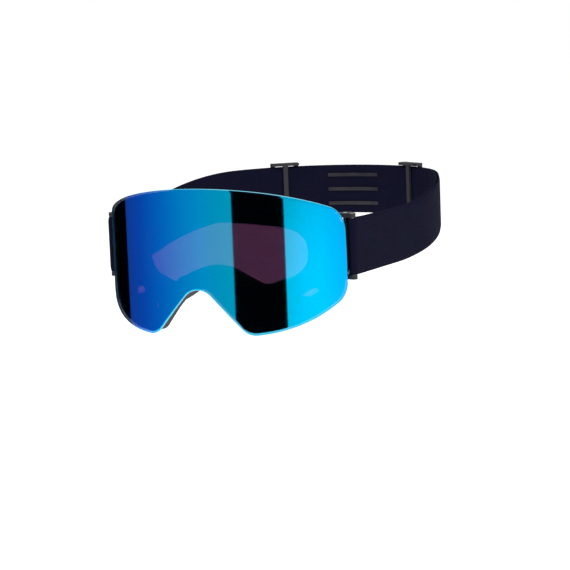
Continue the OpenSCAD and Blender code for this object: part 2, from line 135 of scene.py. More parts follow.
def turned(vectors: Array) -> Array:
    """Rows of x, y turned a quarter turn anticlockwise."""
    return np.stack([-vectors[..., 1], vectors[..., 0]], -1)


def cross(a: Array, b: Array) -> Array:
    """The cross product of rows of x, y."""
    return a[..., 0] * b[..., 1] - a[..., 1] * b[..., 0]


LENS_SHAPE = Outline(
    top=(0.0, 68.3, 300.0),
    side=((113.3, 29.9, 20.0), (115.0, -30.0, 18.0), (72.7, -51.1, 145.0), (36.4, -53.7, 14.0)),
    nose=(0.0, -13.9, 13.5),
)
FACE_SHAPE = Outline(
    top=(0.0, 31.0, 250.0),
    side=((66.0, 17.6, 18.0), (66.0, -13.5, 16.0), (49.0, -18.0, 40.0), (34.0, -22.5, 10.0)),
    nose=(0.0, -2.0, 30.0),
)


@dataclass(frozen=True)
class LensCylinder:
    """The upright cylinder that the lens is part of, in millimetres."""

    radius: float = 104.0
    axis_y: float = 62.0

    def wrap(self, points: Array, radius: float | Array) -> Array:
        """Lay unrolled points (s, z) on the cylinder: x = r sin(s/R), y = axis - r cos(s/R)."""
        angle = points[..., 0] / self.radius
        return np.stack([radius * np.sin(angle), self.axis_y - radius * np.cos(angle), points[..., 1]], -1)


CYLINDER = LensCylinder()


def laid(points: Array, y: float, radius: float) -> Array:
    """Lay front-view points on a face-shaped surface: y + r - sqrt(r^2 - x^2)."""
    x = points[..., 0]
    return np.stack([x, y + radius - np.sqrt(radius**2 - x**2), points[..., 1]], -1)


# ---------------------------------------------------------------- meshes


def grid_faces(rows: int, columns: int, close_rows: bool, close_columns: bool, first: int = 0) -> Array:
    """Quads of a grid of points stored row by row.

    Args:
        rows: number of rows.
        columns: points in each row.
        close_rows: join the last row to the first.
        close_columns: join each row's last point to its first.
        first: index of the grid's first point.

    Returns:
        One row of four indices for each quad.
    """
    i = np.arange(rows if close_rows else rows - 1)[:, None]
    j = np.arange(columns if close_columns else columns - 1)[None, :]
    i2, j2 = (i + 1) % rows, (j + 1) % columns
    corners = (i * columns + j, i2 * columns + j, i2 * columns + j2, i * columns + j2)
    quads = np.stack(np.broadcast_arrays(*corners), -1)
    return quads.reshape(-1, 4) + first


def make_object(name: str, points: Array, quads: Array, finish: "Finish",
                sharp: float = 40.0) -> bpy.types.Object:
    """Make a smooth object from points in millimetres and quads, with its faces outwards.

    Args:
        name: the piece's name.
        points: rows of x, y, z in millimetres.
        quads: rows of four indices.
        finish: the finish to dress it in.
        sharp: edges that turn by more degrees than this are sharp.

    Returns:
        The new object, at the origin, linked to the scene.
    """
    mesh = bpy.data.meshes.new(name)
    mesh.from_pydata(points.reshape(-1, 3) * MM, [], quads.tolist())
    mesh.validate()
    orient(mesh)
    mesh.shade_smooth()
    mesh.set_sharp_from_angle(angle=math.radians(sharp))
    mesh.materials.append(finish.material())
    obj = bpy.data.objects.new(name, mesh)
    bpy.context.scene.collection.objects.link(obj)
    LOG.info("%s: %d faces", name, len(mesh.polygons))
    return obj


def orient(mesh: bpy.types.Mesh, merge: float = 1e-6) -> None:
    """Merge doubles closer than merge metres and turn every face outwards."""
    work = bmesh.new()
    work.from_mesh(mesh)
    bmesh.ops.remove_doubles(work, verts=work.verts, dist=merge)
    bmesh.ops.recalc_face_normals(work, faces=work.faces)
    work.to_mesh(mesh)
    work.free()


def ring(name: str, loops: list[Array], finish: "Finish", sharp: float = 40.0) -> bpy.types.Object:
    """A closed ring whose section goes once through the given loops."""
    grid = np.stack(loops)
    quads = grid_faces(grid.shape[0], grid.shape[1], True, True)
    return make_object(name, grid, quads, finish, sharp)


def rounded_section(width: float, depth: float, radius: float, steps: int = 4) -> Array:
    """A rounded rectangle's points as (across, deep), from 0 to width and 0 to depth."""
    radius = min(radius, width / 2 - 1e-3, depth / 2 - 1e-3)
    angle = np.linspace(0, np.pi / 2, steps)
    arc = radius * np.stack([np.cos(angle), np.sin(angle)], 1)
    right, high = width - radius, depth - radius
    centres = [(right, high), (radius, high), (radius, radius), (right, radius)]
    corners = [np.array(c) + (arc @ np.array([[np.cos(t), np.sin(t)], [-np.sin(t), np.cos(t)]])) for c, t in
               zip(centres, (0, np.pi / 2, np.pi, 1.5 * np.pi))]
    return np.concatenate(corners)


# ---------------------------------------------------------------- finishes


class Nodes:
    """A small builder for one material's shader nodes."""

    def __init__(self, name: str) -> None:
        """Start a material with an empty tree."""
        self.material = bpy.data.materials.new(name)
        self.material.use_nodes = True
        self.tree = self.material.node_tree
        self.tree.nodes.clear()
        self.output = self.tree.nodes.new("ShaderNodeOutputMaterial")

    def add(self, kind: str, values: dict | None = None, links: dict | None = None,
            **settings) -> bpy.types.Node:
        """Add a node.

        Args:
            kind: the node's type without the ShaderNode prefix.
            values: constant values by input name or number.
            links: output sockets by input name or number.
            settings: the node's own properties.

        Returns:
            The new node.
        """
        node = self.tree.nodes.new("ShaderNode" + kind)
        for key, value in settings.items():
            setattr(node, key, value)
        for key, value in (values or {}).items():
            node.inputs[key].default_value = value
        for key, socket in (links or {}).items():
            self.tree.links.new(socket, node.inputs[key])
        return node

    def coordinates(self, use_uv: bool = False) -> bpy.types.NodeSocket:
        """The piece's own coordinates, or its UV map."""
        return self.add("TexCoord").outputs["UV" if use_uv else "Object"]

    def ramp(self, socket: bpy.types.NodeSocket, stops: list[tuple[float, tuple]]) -> bpy.types.NodeSocket:
        """A colour ramp with the given stops."""
        node = self.add("ValToRGB", links={0: socket})
        elements = node.color_ramp.elements
        elements[0].position, elements[0].color = stops[0]
        elements[1].position, elements[1].color = stops[-1]
        for position, colour in stops[1:-1]:
            elements.new(position).color = colour
        return node.outputs[0]

    def noise(self, coordinates: bpy.types.NodeSocket, scale: float,
              detail: float = 3.0) -> bpy.types.NodeSocket:
        """Fractal noise with the given scale per metre."""
        node = self.add("TexNoise", {"Scale": scale, "Detail": detail}, {"Vector": coordinates})
        return node.outputs["Fac"]

    def math(self, operation: str, *operands: float | bpy.types.NodeSocket) -> bpy.types.NodeSocket:
        """A maths node on numbers and sockets."""
        node = self.add("Math", operation=operation)
        for i, operand in enumerate(operands):
            if isinstance(operand, (int, float)):
                node.inputs[i].default_value = operand
            else:
                self.tree.links.new(operand, node.inputs[i])
        return node.outputs[0]

    def bump(self, height: bpy.types.NodeSocket, distance: float,
             strength: float = 1.0) -> bpy.types.NodeSocket:
        """A bump normal; distance is the height in metres of a full step."""
        return self.add("Bump", {"Strength": strength, "Distance": distance}, {"Height": height}).outputs[0]

    def finish(self, shader: bpy.types.NodeSocket) -> bpy.types.Material:
        """Connect the surface and hand over the material."""
        self.tree.links.new(shader, self.output.inputs["Surface"])
        return self.material


@dataclass(frozen=True)
class Finish:
    """A finish: its name and how to build its material."""

    name: str

    def build(self, nodes: Nodes) -> bpy.types.Material:
        """Build the node tree; each finish has its own."""
        raise NotImplementedError

    def material(self) -> bpy.types.Material:
        """The finish's material, built once."""
        found = bpy.data.materials.get(self.name)
        return found if found else self.build(Nodes(self.name))


def rgba(red: float, green: float, blue: float, alpha: float = 1.0) -> tuple[float, float, float, float]:
    """A linear colour."""
    return (red, green, blue, alpha)


@dataclass(frozen=True)
class MirrorCoat(Finish):
    """A thin-film mirror on tinted polycarbonate: cyan face on, deep blue at a slant."""

    name: str = "mirror_coat"
    opacity: float = 0.76

    def build(self, nodes: Nodes) -> bpy.types.Material:
        """Metal-like reflection whose colour turns from cyan to blue with the angle."""
        facing = nodes.add("LayerWeight", {"Blend": 0.5}).outputs["Facing"]
        colour = nodes.ramp(facing, [
            (0.02, rgba(0.0, 0.39, 0.61)),
            (0.05, rgba(0.0, 0.44, 0.70)),
            (0.08, rgba(0.0, 0.49, 0.83)),
            (0.13, rgba(0.0, 0.52, 0.89)),
            (0.275, rgba(0.0, 0.43, 0.93)),
            (0.40, rgba(0.0, 0.27, 0.84)),
            (0.54, rgba(0.0, 0.21, 0.72)),
            (1.0, rgba(0.01, 0.05, 0.20)),
        ])
        drift = nodes.noise(nodes.coordinates(), 9.0, 1.0)
        rough = nodes.math("MULTIPLY_ADD", drift, 0.03, 0.04)
        shader = nodes.add("BsdfPrincipled", {"Metallic": 1.0, "Alpha": self.opacity},
                           {"Base Color": colour, "Roughness": rough})
        return nodes.finish(shader.outputs[0])


@dataclass(frozen=True)
class LensRimHighlight(Finish):
    """The polished edge of the outer lens, in a light cyan that is partly its own tint and partly painted
    highlight.
    """

    name: str = "lens_rim_painted_highlight"

    def build(self, nodes: Nodes) -> bpy.types.Material:
        """Glossy cyan plastic whose light colour is partly painted highlight, with a slow change of tone
        along the edge.
        """
        tone = nodes.noise(nodes.coordinates(), 14.0, 1.0)
        # painted highlight: the light cyan stops stand in for the bright glint along the lens edge
        colour = nodes.ramp(tone, [(0.35, rgba(0.05, 0.50, 0.66)), (0.65, rgba(0.22, 0.70, 0.82))])
        shader = nodes.add("BsdfPrincipled", {"Roughness": 0.12, "IOR": 1.58}, {"Base Color": colour})
        return nodes.finish(shader.outputs[0])


@dataclass(frozen=True)
class TintedLens(Finish):
    """The clear inner lens with a rose-grey tint."""

    name: str = "tinted_inner_lens"

    def build(self, nodes: Nodes) -> bpy.types.Material:
        """A mix of tinted transparency and a faint gloss."""
        tint = nodes.add("BsdfTransparent", {"Color": rgba(0.84, 0.45, 0.68)})
        gloss = nodes.add("BsdfPrincipled", {"Base Color": rgba(0.03, 0.012, 0.024), "Roughness": 0.08})
        facing = nodes.add("LayerWeight", {"Blend": 0.25}).outputs["Facing"]
        amount = nodes.math("MULTIPLY_ADD", facing, 0.25, 0.04)
        mix = nodes.add("MixShader", links={0: amount, 1: tint.outputs[0], 2: gloss.outputs[0]})
        return nodes.finish(mix.outputs[0])


@dataclass(frozen=True)
class Plastic(Finish):
    """Moulded plastic or rubber with a fine grain and slight wear in its gloss."""

    dark: tuple = rgba(0.006, 0.006, 0.008)
    light: tuple = rgba(0.013, 0.013, 0.016)
    grain: float = 2600.0
    relief: float = 0.00006
    roughness: float = 0.42
    spread: float = 0.16

    def build(self, nodes: Nodes) -> bpy.types.Material:
        """Spark-eroded grain as bump, with cloudy colour and roughness."""
        place = nodes.coordinates()
        cloud = nodes.noise(place, 60.0)
        colour = nodes.ramp(cloud, [(0.35, self.dark), (0.65, self.light)])
        rough = nodes.math("MULTIPLY_ADD", cloud, self.spread, self.roughness - self.spread / 2)
        normal = nodes.bump(nodes.noise(place, self.grain, 2.0), self.relief, 0.6)
        shader = nodes.add("BsdfPrincipled", {"IOR": 1.5},
                           {"Base Color": colour, "Roughness": rough, "Normal": normal})
        return nodes.finish(shader.outputs[0])


@dataclass(frozen=True)
class Foam(Finish):
    """Open or closed cell foam: round cells a fraction of a millimetre wide."""

    dark: tuple = rgba(0.006, 0.006, 0.007)
    light: tuple = rgba(0.022, 0.021, 0.024)
    cells: float = 1500.0
    relief: float = 0.0003

    def build(self, nodes: Nodes) -> bpy.types.Material:
        """Cells from a Voronoi pattern, with painted shade in their mouths where the bump is low."""
        place = nodes.coordinates()
        cell = nodes.add("TexVoronoi", {"Scale": self.cells}, {"Vector": place}).outputs["Distance"]
        cloud = nodes.noise(place, 90.0)
        height = nodes.math("MULTIPLY", cell, nodes.math("ADD", cloud, 0.5))
        # painted shade: the colour follows the bump height and is darker in the cell pits
        colour = nodes.ramp(height, [(0.1, self.dark), (0.6, self.light)])
        normal = nodes.bump(height, self.relief, 0.8)
        values = {"Roughness": 0.93, "Sheen Weight": 0.25, "Sheen Roughness": 0.5}
        shader = nodes.add("BsdfPrincipled", values, {"Base Color": colour, "Normal": normal})
        return nodes.finish(shader.outputs[0])


@dataclass(frozen=True)
class Fleece(Finish):
    """Brushed fleece: short matted pile."""

    name: str = "brushed_fleece"

    def build(self, nodes: Nodes) -> bpy.types.Material:
        """Two noises for the nap and the single fibres."""
        place = nodes.coordinates()
        nap = nodes.noise(place, 420.0, 4.0)
        fibres = nodes.noise(place, 3200.0, 2.0)
        height = nodes.math("MULTIPLY_ADD", fibres, 0.5, nap)
        # the colour is partly random tone and partly painted shade: it darkens where the nap's bump is low
        colour = nodes.ramp(nap, [(0.3, rgba(0.004, 0.004, 0.005)), (0.7, rgba(0.016, 0.016, 0.019))])
        normal = nodes.bump(height, 0.0005, 0.9)
        values = {"Roughness": 0.96, "Sheen Weight": 0.6, "Sheen Roughness": 0.4}
        shader = nodes.add("BsdfPrincipled", values, {"Base Color": colour, "Normal": normal})
        return nodes.finish(shader.outputs[0])


@dataclass(frozen=True)
class Webbing(Finish):
    """Woven elastic: fine crosswise ribs, warp yarns along the strap and a soft knitted face."""

    name: str = "elastic_webbing"
    rib: float = 0.00125
    yarn: float = 0.00085

    def build(self, nodes: Nodes) -> bpy.types.Material:
        """Ribs and yarns follow the UV map, which is in metres along and across the strap."""
        place = nodes.coordinates(use_uv=True)
        split = nodes.add("SeparateXYZ", links={0: place})
        along, across = split.outputs[0], split.outputs[1]
        wander = nodes.math("MULTIPLY", nodes.noise(place, 700.0, 2.0), 0.9)
        rib_turn = nodes.math("ADD", nodes.math("MULTIPLY", along, 2 * math.pi / self.rib), wander)
        yarn_turn = nodes.math("MULTIPLY", across, 2 * math.pi / self.yarn)
        half = nodes.math("MULTIPLY", yarn_turn, 0.5)
        shift = nodes.math("MULTIPLY", nodes.math("SIGN", nodes.math("SINE", half)), math.pi / 2)
        ribs = nodes.math("SINE", nodes.math("ADD", rib_turn, shift))
        yarns = nodes.math("ABSOLUTE", nodes.math("SINE", half))
        weave = nodes.math("MULTIPLY_ADD", ribs, 0.35, yarns)
        # the colour is partly random tone and partly painted shade: the weave height makes it darker in the
        # grooves
        tone = nodes.math("MULTIPLY_ADD", nodes.noise(place, 55.0, 4.0), 0.35,
                          nodes.math("MULTIPLY", weave, 0.5))
        colour = nodes.ramp(tone, [
            (0.05, rgba(0.0026, 0.0027, 0.0090)),
            (0.45, rgba(0.0054, 0.0058, 0.0175)),
            (0.85, rgba(0.0085, 0.0090, 0.0250)),
        ])
        normal = nodes.bump(weave, 0.00022, 0.75)
        shader = nodes.add("BsdfPrincipled", {"Roughness": 0.9, "Specular IOR Level": 0.03},
                           {"Base Color": colour, "Normal": normal})
        return nodes.finish(shader.outputs[0])


@dataclass(frozen=True)
class Thread(Finish):
    """Twisted polyester sewing thread."""

    name: str = "sewing_thread"

    def build(self, nodes: Nodes) -> bpy.types.Material:
        """A fine twist as a slanted wave, in the bump and as painted shade in the colour."""
        wave = nodes.add("TexWave", {"Scale": 900.0, "Distortion": 1.0}, {"Vector": nodes.coordinates()})
        # painted shade: the colour darkens with the wave that makes the bump, in the twist's grooves
        stops = [(0.2, rgba(0.008, 0.008, 0.014)), (0.8, rgba(0.035, 0.035, 0.05))]
        colour = nodes.ramp(wave.outputs["Fac"], stops)
        normal = nodes.bump(wave.outputs["Fac"], 0.00008, 0.6)
        shader = nodes.add("BsdfPrincipled", {"Roughness": 0.6, "Sheen Weight": 0.3},
                           {"Base Color": colour, "Normal": normal})
        return nodes.finish(shader.outputs[0])


@dataclass(frozen=True)
class Metal(Finish):
    """Plain or plated steel with faint drawing marks."""

    tint: tuple = rgba(0.56, 0.56, 0.58)
    roughness: float = 0.26

    def build(self, nodes: Nodes) -> bpy.types.Material:
        """Brushed marks change the gloss a little."""
        marks = nodes.noise(nodes.coordinates(), 1800.0, 4.0)
        rough = nodes.math("MULTIPLY_ADD", marks, 0.2, self.roughness - 0.1)
        colour = nodes.ramp(marks, [(0.3, tuple(0.8 * c for c in self.tint[:3]) + (1.0,)), (0.7, self.tint)])
        shader = nodes.add("BsdfPrincipled", {"Metallic": 1.0}, {"Base Color": colour, "Roughness": rough})
        return nodes.finish(shader.outputs[0])


MIRROR, LENS_RIM_HIGHLIGHT, TINT = MirrorCoat(), LensRimHighlight(), TintedLens()
CARRIER = Plastic("carrier_plastic", roughness=0.4)
BEAD = Plastic("blue_bead", rgba(0.0, 0.012, 0.05), rgba(0.002, 0.026, 0.10), roughness=0.3, relief=0.00002)
RIM = Plastic("rim_plastic", roughness=0.45)
SOFT = Plastic("soft_frame", rgba(0.007, 0.0065, 0.007), rgba(0.015, 0.014, 0.015), 1900.0, 0.00008, 0.55)
HARDWARE = Plastic("slider_plastic", rgba(0.008, 0.008, 0.010), rgba(0.016, 0.016, 0.020), 2400.0,
                   0.00005, 0.38)
SILICONE = Plastic("silicone_grip", rgba(0.012, 0.012, 0.015), rgba(0.022, 0.022, 0.027), 900.0,
                   0.00002, 0.3)
VENT_FOAM = Foam("vent_foam", rgba(0.004, 0.004, 0.005), rgba(0.03, 0.03, 0.033), 750.0, 0.0006)
DENSE_FOAM = Foam("dense_foam", cells=2300.0, relief=0.0002)
SOFT_FOAM = Foam("soft_foam", rgba(0.008, 0.007, 0.009), rgba(0.030, 0.028, 0.033), 1500.0, 0.00035)
GASKET = Foam("gasket_foam", cells=2600.0, relief=0.00012)
FLEECE, WEB, THREAD = Fleece(), Webbing(), Thread()
STEEL, NICKEL = Metal("pin_steel"), Metal("magnet_nickel", rgba(0.62, 0.60, 0.57), 0.2)


# ---------------------------------------------------------------- lens


def lens_ring(name: str, first: float, width: float, outer: float, depth: float, finish: Finish,
              soft: float = 0.5) -> bpy.types.Object:
    """A ring that follows the lens's outline.

    Args:
        name: the piece's name.
        first: how far its outer edge is inside the outline.
        width: its width across the lens.
        outer: radius of its front face.
        depth: its depth towards the face.
        finish: its finish.
        soft: radius of its section's corners.

    Returns:
        The ring.
    """
    loops = [CYLINDER.wrap(LENS_SHAPE.points(first + width - across), outer - depth + deep)
             for across, deep in rounded_section(width, depth, soft)]
    return ring(name, loops, finish)


@dataclass
class Lens:
    """The lens that pulls off: outer lens, carrier ring, gasket, inner lens and magnets."""

    edge_round: float = 0.5
    thickness: float = 1.4
    inner_thickness: float = 0.8
    inner_inset: float = 7.7
    inner_radius: float = 99.3
    body: str = "lens"
    columns: int = 240
    rows: int = 48

    def plate(self, name: str, inset: float, outer: float, inner: float, face: Finish,
              edge: Finish) -> bpy.types.Object:
        """A bent plate with a rounded edge.

        Both faces are grids of upright columns between the outline's lower and upper edge. The
        edge is a half-round profile carried round the outline, from the front face to the back.

        Args:
            name: the piece's name.
            inset: how far the outline is drawn in.
            outer: radius of the front face.
            inner: radius of the back face.
            face: finish of both faces.
            edge: finish of the edge.

        Returns:
            The plate.
        """
        ridge = min(self.edge_round, (outer - inner) / 2 - 0.02)
        loop = LENS_SHAPE.points(inset + ridge)
        top = loop[loop[:, 1] > 0]
        low = loop[loop[:, 1] <= 0]
        top, low = top[np.argsort(top[:, 0])], low[np.argsort(low[:, 0])]
        reach = min(top[-1, 0], low[-1, 0])
        s = reach * np.sin(np.linspace(-np.pi / 2, np.pi / 2, self.columns * 2 + 1))
        even = np.linspace(-reach, reach, self.columns + 1)
        own = low[np.abs(low[:, 0]) < reach, 0]
        s = np.unique(np.concatenate([s, even, own]).round(3))
        s[0], s[-1] = -reach, reach
        high_z, low_z = np.interp(s, top[:, 0], top[:, 1]), np.interp(s, low[:, 0], low[:, 1])
        share = np.linspace(0, 1, self.rows)[:, None]
        flat = np.stack([np.broadcast_to(s, (self.rows, len(s))), low_z + (high_z - low_z) * share], -1)
        border = np.concatenate([flat[0, :-1], flat[:-1, -1], flat[-1, :0:-1], flat[:0:-1, 0]])
        tangent = np.roll(border, -1, 0) - np.roll(border, 1, 0)
        tangent /= np.linalg.norm(tangent, axis=1)[:, None] + 1e-12
        away = -turned(tangent)
        angle = np.linspace(0, np.pi, 9)
        middle = (outer + inner) / 2
        half = (outer - inner) / 2
        loops = [CYLINDER.wrap(border + away * ridge * np.sin(a), middle + half * np.cos(a)) for a in angle]
        front, back = CYLINDER.wrap(flat, outer), CYLINDER.wrap(flat, inner)
        edge_grid = np.stack(loops)
        count = flat.shape[0] * flat.shape[1]
        faces = np.concatenate([
            grid_faces(*flat.shape[:2], False, False),
            grid_faces(*flat.shape[:2], False, False, count),
            grid_faces(edge_grid.shape[0], edge_grid.shape[1], False, True, 2 * count),
        ])
        points = np.concatenate([front.reshape(-1, 3), back.reshape(-1, 3), edge_grid.reshape(-1, 3)])
        plate = make_object(name, points, faces, face, 60.0)
        plate.data.materials.append(edge.material())
        self.colour_edge(plate, outer, inner)
        return plate

    @staticmethod
    def colour_edge(plate: bpy.types.Object, outer: float, inner: float) -> None:
        """Give the second material to faces that lie between the two face radii."""
        mesh = plate.data
        centres = np.empty(len(mesh.polygons) * 3)
        mesh.polygons.foreach_get("center", centres)
        centres = centres.reshape(-1, 3) / MM
        radius = np.hypot(centres[:, 0], centres[:, 1] - CYLINDER.axis_y)
        on_edge = (radius < outer - 0.03) & (radius > inner + 0.03)
        mesh.polygons.foreach_set("material_index", on_edge.astype(np.int32))
        mesh.update()

    def build(self) -> list[bpy.types.Object]:
        """Build and dress every piece of the lens."""
        radius = CYLINDER.radius
        shield = self.plate("lens_shield", 0.0, radius, radius - self.thickness, MIRROR, LENS_RIM_HIGHLIGHT)
        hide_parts("outer_lens")
        inner = self.plate("inner_lens_sheet", self.inner_inset, self.inner_radius,
                           self.inner_radius - self.inner_thickness, TINT, BEAD)
        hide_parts("inner_lens")
        carrier = lens_ring("carrier_ring", 1.4, 6.0, 102.45, 4.9, CARRIER)
        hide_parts("lens_carrier")
        gasket = lens_ring("gasket_ring", 7.7, 5.0, 102.45, 3.0, GASKET, 0.3)
        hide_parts("lens_gasket")
        pieces = [shield, inner, carrier, gasket]
        for piece in pieces:
            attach(piece, self.body)
        dress("lens_magnets", NICKEL)
        return pieces


def dress(node: str, finish: Finish) -> None:
    """Give a CAD node that stays a finish."""
    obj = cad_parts[node]
    obj.data.materials.clear()
    obj.data.materials.append(finish.material())


def eased_copy(node: str, name: str, body: str, finish: Finish, width: float,
               segments: int) -> bpy.types.Object:
    """A copy of a CAD node with its sharp edges rounded.

    Args:
        node: the CAD node.
        name: the new piece's name.
        body: the body it rides on.
        finish: its finish.
        width: the radius of its edges in metres.
        segments: how many faces round each edge.

    Returns:
        The new piece, which replaces the node.
    """
    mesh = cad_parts[node].data.copy()
    mesh.name = name
    orient(mesh, 1e-5)
    mesh.materials.clear()
    mesh.materials.append(finish.material())
    piece = bpy.data.objects.new(name, mesh)
    bpy.context.scene.collection.objects.link(piece)
    bevel = piece.modifiers.new("eased_edges", "BEVEL")
    bevel.width = width
    bevel.segments = segments
    bevel.limit_method = "ANGLE"
    bevel.angle_limit = math.radians(35)
    bevel.use_clamp_overlap = True
    mesh.shade_smooth()
    mesh.set_sharp_from_angle(angle=math.radians(35))
    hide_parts(node)
    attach(piece, body)
    LOG.info("%s stands for %s", name, node)
    return piece


# ---------------------------------------------------------------- frame


@dataclass
class Frame:
    """The rigid rim, the soft frame with its vents, and the layered face foam."""

    body: str = "frame"
    rim_first: float = 1.8
    rim_width: float = 10.0
    rim_radius: float = 97.25
    rim_depth: float = 3.6
    flange_radius: float = 90.0
    face_radius: float = 98.0
    foam_width: float = 13.0

    def rim(self) -> bpy.types.Object:
        """The rigid magnet ring that the lens's carrier sits on."""
        piece = lens_ring("rim_ring", self.rim_first, self.rim_width, self.rim_radius, self.rim_depth, RIM)
        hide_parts("front_rim")
        return piece

    def shell(self) -> bpy.types.Object:
        """The soft frame with its vent windows: a copy of the CAD node with eased edges."""
        return eased_copy("frame_shell", "soft_frame_shell", self.body, SOFT, 0.00035, 2)

    def foam(self, name: str, node: str, y_near: float, r_near: float, y_far: float, r_far: float,
             finish: Finish, swell: float, sink: float) -> bpy.types.Object:
        """One layer of the face foam, with soft round edges.

        Args:
            name: the piece's name.
            node: the CAD node that it stands for.
            y_near: depth of the face towards the lens.
            r_near: radius of that face.
            y_far: depth of the face towards the skin.
            r_far: radius of that face.
            finish: the layer's finish.
            swell: how far the sides stand out, in millimetres.
            sink: how far the far face's edges round off.

        Returns:
            The layer.
        """
        width = self.foam_width
        share = np.linspace(0, 1, 9)
        across_in = np.linspace(-width + 0.6, -0.6, 13)
        loops = [laid(FACE_SHAPE.points(a), y_near, r_near) for a in across_in]
        for t in share[1:-1]:
            out = swell * np.sin(np.pi * t)
            loops.append(laid(FACE_SHAPE.points(-0.6 + out), y_near + (y_far - y_near) * t,
                              r_near + (r_far - r_near) * t))
        middle = -width / 2
        half = width / 2 - 0.6
        for a in across_in[::-1]:
            fall = sink * (abs(a - middle) / half) ** 4
            loops.append(laid(FACE_SHAPE.points(a), y_far - fall, r_far))
        for t in share[1:-1][::-1]:
            out = swell * np.sin(np.pi * t)
            loops.append(laid(FACE_SHAPE.points(-width + 0.6 - out), y_near + (y_far - y_near) * t,
                              r_near + (r_far - r_near) * t))
        piece = ring(name, loops, finish, 70.0)
        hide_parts(node)
        return piece

    def build(self) -> list[bpy.types.Object]:
        """Build and dress the frame."""
        base_far_r = self.flange_radius + (self.face_radius - self.flange_radius) * 0.25
        base = self.foam("foam_base_layer", "face_foam_base", -19.6, self.flange_radius, -15.0, base_far_r,
                         DENSE_FOAM, 0.25, 0.2)
        mid = self.foam("foam_soft_layer", "face_foam_mid", -14.6, base_far_r, -2.2, self.face_radius,
                        SOFT_FOAM, 0.8, 0.4)
        liner = self.foam("fleece_layer", "face_liner", -1.9, self.face_radius, 0.0, self.face_radius,
                          FLEECE, 0.3, 1.0)
        pieces = [self.rim(), self.shell(), base, mid, liner]
        for piece in pieces:
            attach(piece, self.body)
        for node, finish in (("frame_magnets", NICKEL), ("nose_flap", SOFT), ("top_vent_foam", VENT_FOAM),
                             ("bottom_vent_foam_left", VENT_FOAM), ("bottom_vent_foam_right", VENT_FOAM),
                             ("hinge_pin_left", STEEL), ("hinge_pin_right", STEEL)):
            dress(node, finish)
        return pieces


# ---------------------------------------------------------------- strap


@dataclass
class StrapPath:
    """The strap's loop seen from above, and its level, in millimetres, on the left side."""

    width: float = 40.5
    thickness: float = 1.7
    low_z: float = 4.0
    rise: float = 14.0
    rise_from: float = 70.0
    side_len: float = 108.0
    spread: float = math.radians(6.4)
    corner_radius: float = 180.0
    back_half: float = math.radians(60.0)
    bar: tuple[float, float] = (94.9562, 20.5615)
    bar_radius: float = 1.3
    fold_radius: float = field(init=False)

    def __post_init__(self) -> None:
        """Work out the joints between the straight side, the corner arc and the back arc."""
        self.fold_radius = self.bar_radius + 0.25 + self.thickness
        self.heading = np.array([math.sin(self.spread), math.cos(self.spread)])
        self.outward = np.array([math.cos(self.spread), -math.sin(self.spread)])
        self.start = np.array(self.bar) + self.outward * (self.fold_radius - self.thickness / 2)
        side_end = self.start + self.heading * self.side_len
        self.corner_centre = side_end - self.outward * self.corner_radius
        self.turn = self.spread + math.pi / 2 - self.back_half
        end_angle = self.turn - self.spread
        end_dir = np.array([math.cos(end_angle), math.sin(end_angle)])
        corner_end = self.corner_centre + self.corner_radius * end_dir
        self.back_centre = np.array([0.0, corner_end[1] - corner_end[0] * end_dir[1] / end_dir[0]])
        self.back_radius = float(np.linalg.norm(corner_end - self.back_centre))
        self.corner_len = self.corner_radius * self.turn
        self.back_len = self.back_radius * (math.pi / 2 - end_angle)
        self.half_len = self.side_len + self.corner_len + self.back_len

    def plan(self, u: Array, inside: Array | float = 0.0) -> Array:
        """Plan points at lengths u along the outer layer's middle, moved inwards.

        The path is a straight side, then an arc of the corner radius, then an arc of the back
        radius; each piece starts where the one before it ends, on the same tangent.
        """
        u, inside = np.broadcast_arrays(np.asarray(u, float), np.asarray(inside, float))
        straight = self.start + self.heading * u[:, None] - self.outward * inside[:, None]
        a = (u - self.side_len) / self.corner_radius - self.spread
        arm = np.stack([np.cos(a), np.sin(a)], 1)
        corner = self.corner_centre + (self.corner_radius - inside)[:, None] * arm
        b = self.turn - self.spread + (u - self.side_len - self.corner_len) / self.back_radius
        back = self.back_centre + (self.back_radius - inside)[:, None] * np.stack([np.cos(b), np.sin(b)], 1)
        on_corner = (u >= self.side_len)[:, None]
        on_back = (u >= self.side_len + self.corner_len)[:, None]
        return np.where(on_back, back, np.where(on_corner, corner, straight))

    def level(self, u: Array) -> Array:
        """Level of the strap's middle: a smooth step up towards the back."""
        t = np.clip((u - self.rise_from) / (self.side_len + self.corner_len - self.rise_from), 0, 1)
        return self.low_z + self.rise * t * t * (3 - 2 * t)


